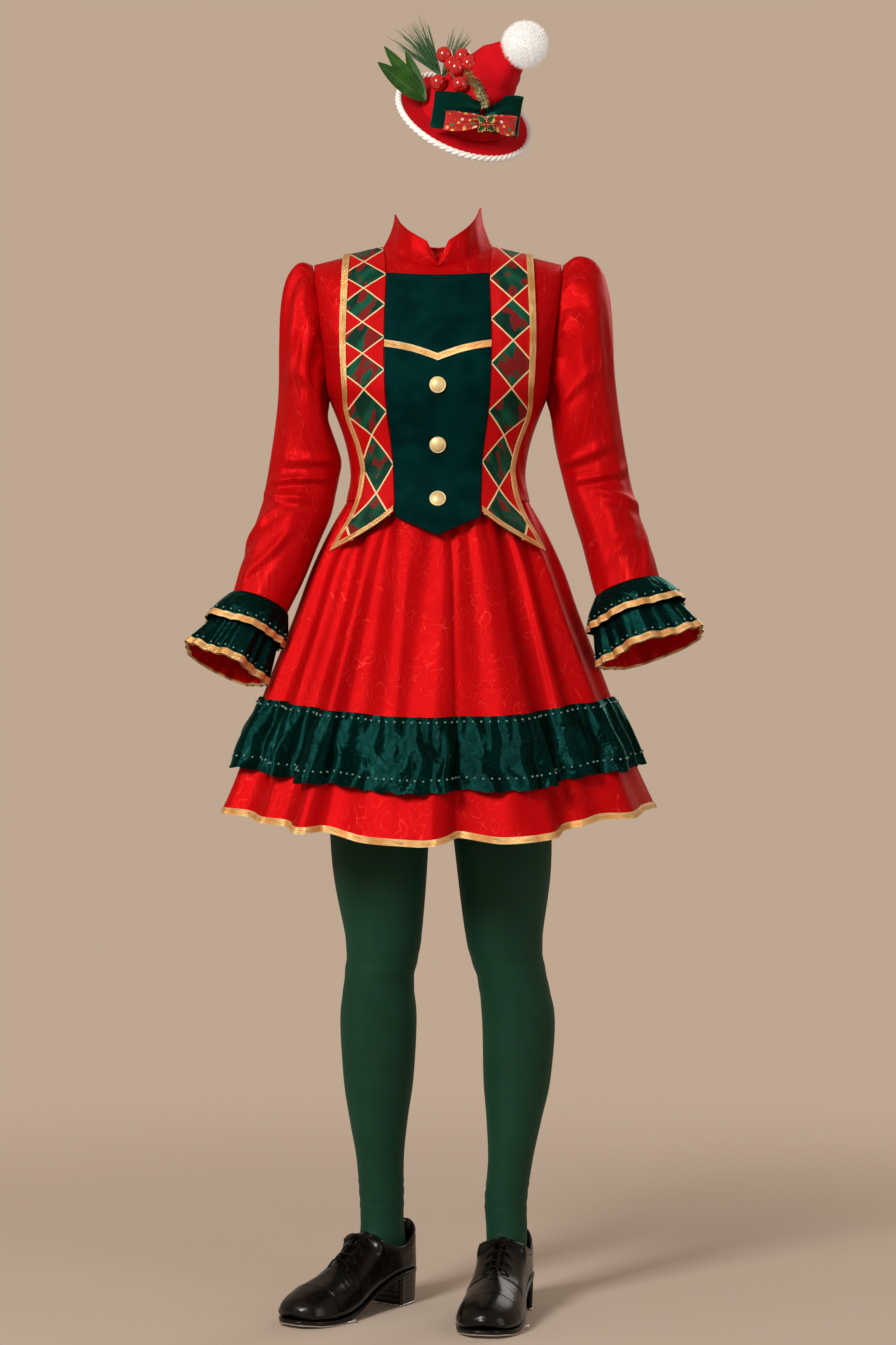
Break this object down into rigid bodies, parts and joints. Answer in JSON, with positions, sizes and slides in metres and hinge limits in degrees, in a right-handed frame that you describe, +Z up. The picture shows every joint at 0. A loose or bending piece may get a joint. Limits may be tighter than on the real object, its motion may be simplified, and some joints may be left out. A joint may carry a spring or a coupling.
{
  "type": "tap dance costume",
  "caption": "Festive tap dance costume: red satin dress with velvet plastron, harlequin panels and green ruffles, green tights, black lace-up tap shoes and a small tilted felt hat.",
  "frame": {"origin": "between the wearer's shoulders, at shoulder height, 1.4 m above the floor that the shoes stand on", "axes": "+Z up, the front of the costume faces -Y, +X to the viewer's right"},
  "size_m": [0.6837, 0.4832, 1.7292],
  "materials": {
    "red_satin": "satin with a tone-on-tone swirl weave",
    "green_velvet": "short pile velvet",
    "harlequin_print": "satin printed with green diamonds on red, with cream and gold lines",
    "green_satin": "glossy satin",
    "gold_ribbon": "metallic satin ribbon",
    "gold_metal": "polished",
    "tights_knit": "fine opaque knit",
    "black_leather": "polished",
    "sole_leather": "stacked and dyed",
    "tap_metal": "brushed",
    "lace_cord": "waxed round cord",
    "red_felt": "felt",
    "white_braid": "twisted braid",
    "white_pile": "fluffy pile",
    "berry_red": "glossy",
    "leaf_green": "stiffened cloth leaves"
  },
  "bodies": {
    "root": {"bodice_front": "red_satin", "bodice_back": "red_satin", "plastron": "green_velvet", "plastron_trim": "gold_ribbon", "button_1": "gold_metal", "button_2": "gold_metal", "button_3": "gold_metal", "harlequin_left": "harlequin_print", "harlequin_right": "harlequin_print", "harlequin_binding_left": "gold_ribbon", "harlequin_binding_right": "gold_ribbon", "collar": "red_satin", "sleeve_left": "red_satin", "sleeve_right": "red_satin", "cuff_ruffle_lower_left": "green_satin", "cuff_ruffle_lower_right": "green_satin", "cuff_ruffle_upper_left": "green_satin", "cuff_ruffle_upper_right": "green_satin", "cuff_binding_lower_left": "gold_ribbon", "cuff_binding_lower_right": "gold_ribbon", "cuff_binding_upper_left": "gold_ribbon", "cuff_binding_upper_right": "gold_ribbon", "skirt_front": "red_satin", "skirt_back": "red_satin", "skirt_ruffle_front": "green_satin", "skirt_ruffle_back": "green_satin", "hem_binding_front": "gold_ribbon", "hem_binding_back": "gold_ribbon", "tights_top": "tights_knit", "tights_leg_left": "tights_knit", "tights_leg_right": "tights_knit", "shoe_upper_left": "black_leather", "shoe_upper_right": "black_leather", "shoe_tongue_left": "black_leather", "shoe_tongue_right": "black_leather", "shoe_sole_left": "sole_leather", "shoe_sole_right": "sole_leather", "shoe_heel_left": "sole_leather", "shoe_heel_right": "sole_leather", "shoe_heel_tap_left": "tap_metal", "shoe_heel_tap_right": "tap_metal", "shoe_toe_tap_left": "tap_metal", "shoe_toe_tap_right": "tap_metal", "shoe_laces_left": "lace_cord", "shoe_laces_right": "lace_cord", "hat_brim": "red_felt", "hat_crown": "red_felt", "hat_piping": "white_braid", "pompom": "white_pile", "hat_bow_green_left": "green_satin", "hat_bow_green_right": "green_satin", "hat_bow_red_left": "red_satin", "hat_bow_red_right": "red_satin", "hat_holly": "leaf_green", "hat_leaves": "leaf_green", "hat_needles": "leaf_green", "hat_berries": "berry_red"}
  },
  "joints": []
}
